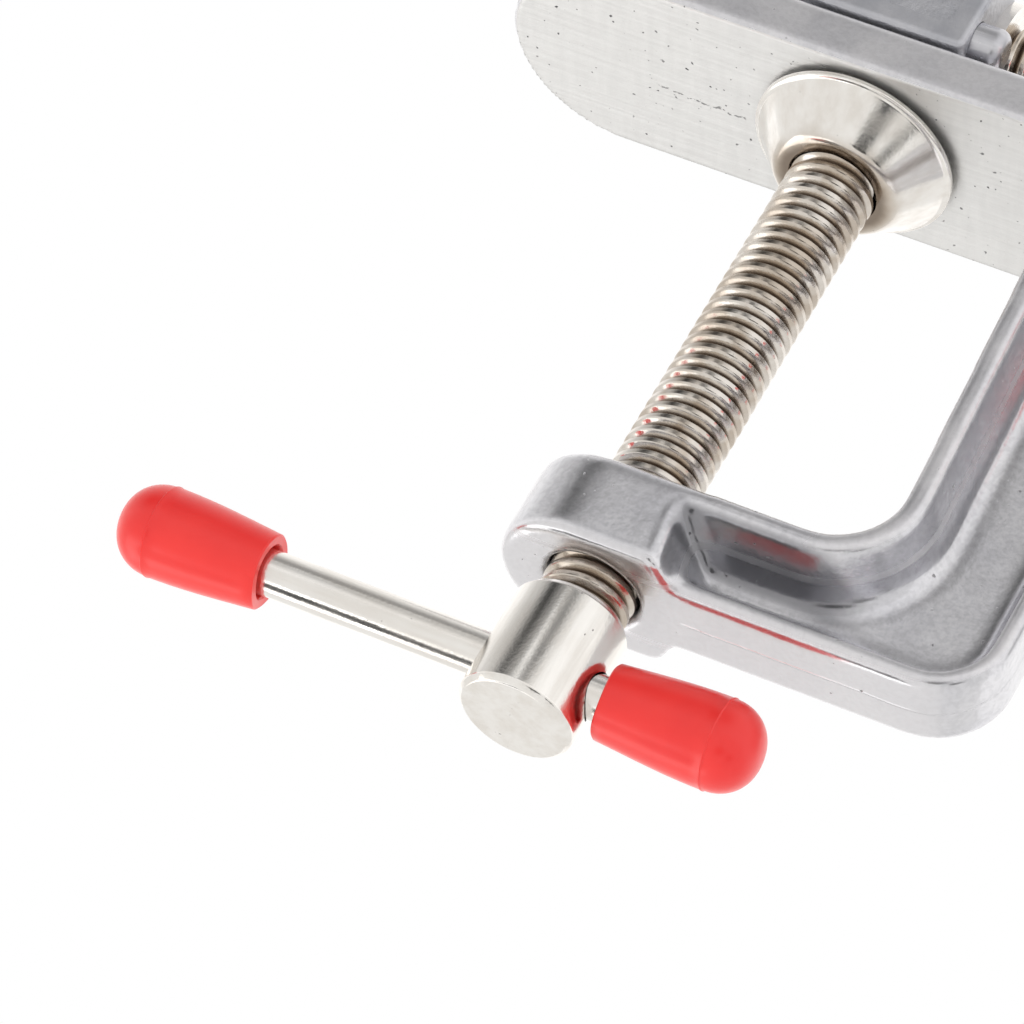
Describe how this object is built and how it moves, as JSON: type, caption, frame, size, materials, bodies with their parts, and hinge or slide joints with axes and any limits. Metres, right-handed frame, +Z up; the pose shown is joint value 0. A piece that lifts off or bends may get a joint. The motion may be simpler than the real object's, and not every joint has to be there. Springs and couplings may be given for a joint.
{
  "type": "bench vise",
  "caption": "Miniature clamp-on bench vise: C-frame with a swivel-pad table clamp, and a sliding jaw on guide rods driven by a lead screw, both with capped T-bars.",
  "frame": {"origin": "on the clamp screw's axis at the underside of the bed, where the table top meets it", "axes": "+Z up from the clamp handle to the jaws, +X towards the spine and the main handle"},
  "size_m": [0.0765, 0.0428, 0.0688],
  "materials": {
    "cast_aluminium": "satin die-cast skin with a thin clear coat",
    "nickel_plate": "nickel plated, semi-bright, turned",
    "guide_rod_steel": "drawn, satin",
    "jaw_steel": "ground, fine straight grain",
    "screw_steel": "zinc plated, slightly dulled",
    "red_vinyl": "dipped soft vinyl, semi-gloss"
  },
  "bodies": {
    "frame": {"body_casting": "cast_aluminium", "fixed_jaw_plate": "jaw_steel", "fixed_jaw_screw_left": "screw_steel", "fixed_jaw_screw_right": "screw_steel", "guide_rod_left": "guide_rod_steel", "guide_rod_right": "guide_rod_steel"},
    "moving_jaw": {"moving_jaw": "cast_aluminium", "moving_jaw_plate": "jaw_steel", "moving_jaw_screw_left": "screw_steel", "moving_jaw_screw_right": "screw_steel"},
    "lead_screw": {"lead_screw": "nickel_plate", "lead_screw_thrust_washer": "nickel_plate", "lead_screw_retaining_ring": "screw_steel"},
    "main_handle": {"main_handle_bar": "nickel_plate", "main_handle_cap_left": "red_vinyl", "main_handle_cap_right": "red_vinyl"},
    "clamp_pad": {"clamp_pad": "nickel_plate"},
    "clamp_screw": {"clamp_screw": "nickel_plate"},
    "clamp_handle": {"clamp_handle_bar": "nickel_plate", "clamp_handle_cap_inner": "red_vinyl", "clamp_handle_cap_outer": "red_vinyl"}
  },
  "joints": [
    {"name": "jaw_travel", "type": "slide", "parent": "frame", "child": "moving_jaw", "axis": [1, 0, 0], "range_m": [-0.007, 0.00795]},
    {"name": "lead_screw_turn", "type": "hinge", "parent": "moving_jaw", "child": "lead_screw", "pos_m": [0, 0, 0.0096], "axis": [1, 0, 0], "range_deg": [-2530, 2872]},
    {"name": "main_handle_slide", "type": "slide", "parent": "lead_screw", "child": "main_handle", "axis": [0, 1, 0], "range_m": [-0.01002, 0.00502]},
    {"name": "clamp_travel", "type": "slide", "parent": "frame", "child": "clamp_pad", "axis": [0, 0, 1], "range_m": [-0.028, 0]},
    {"name": "clamp_screw_turn", "type": "hinge", "parent": "clamp_pad", "child": "clamp_screw", "pos_m": [0, 0, 0], "axis": [0, 0, 1], "range_deg": [-10090, 10]},
    {"name": "clamp_handle_slide", "type": "slide", "parent": "clamp_screw", "child": "clamp_handle", "axis": [1, 0, 0], "range_m": [-0.00072, 0.01432]}
  ],
  "couplings": [
    {"joint": "lead_screw_turn", "follows": "jaw_travel", "rad_per_m": 6283.2},
    {"joint": "clamp_screw_turn", "follows": "clamp_travel", "rad_per_m": 6283.2}
  ]
}
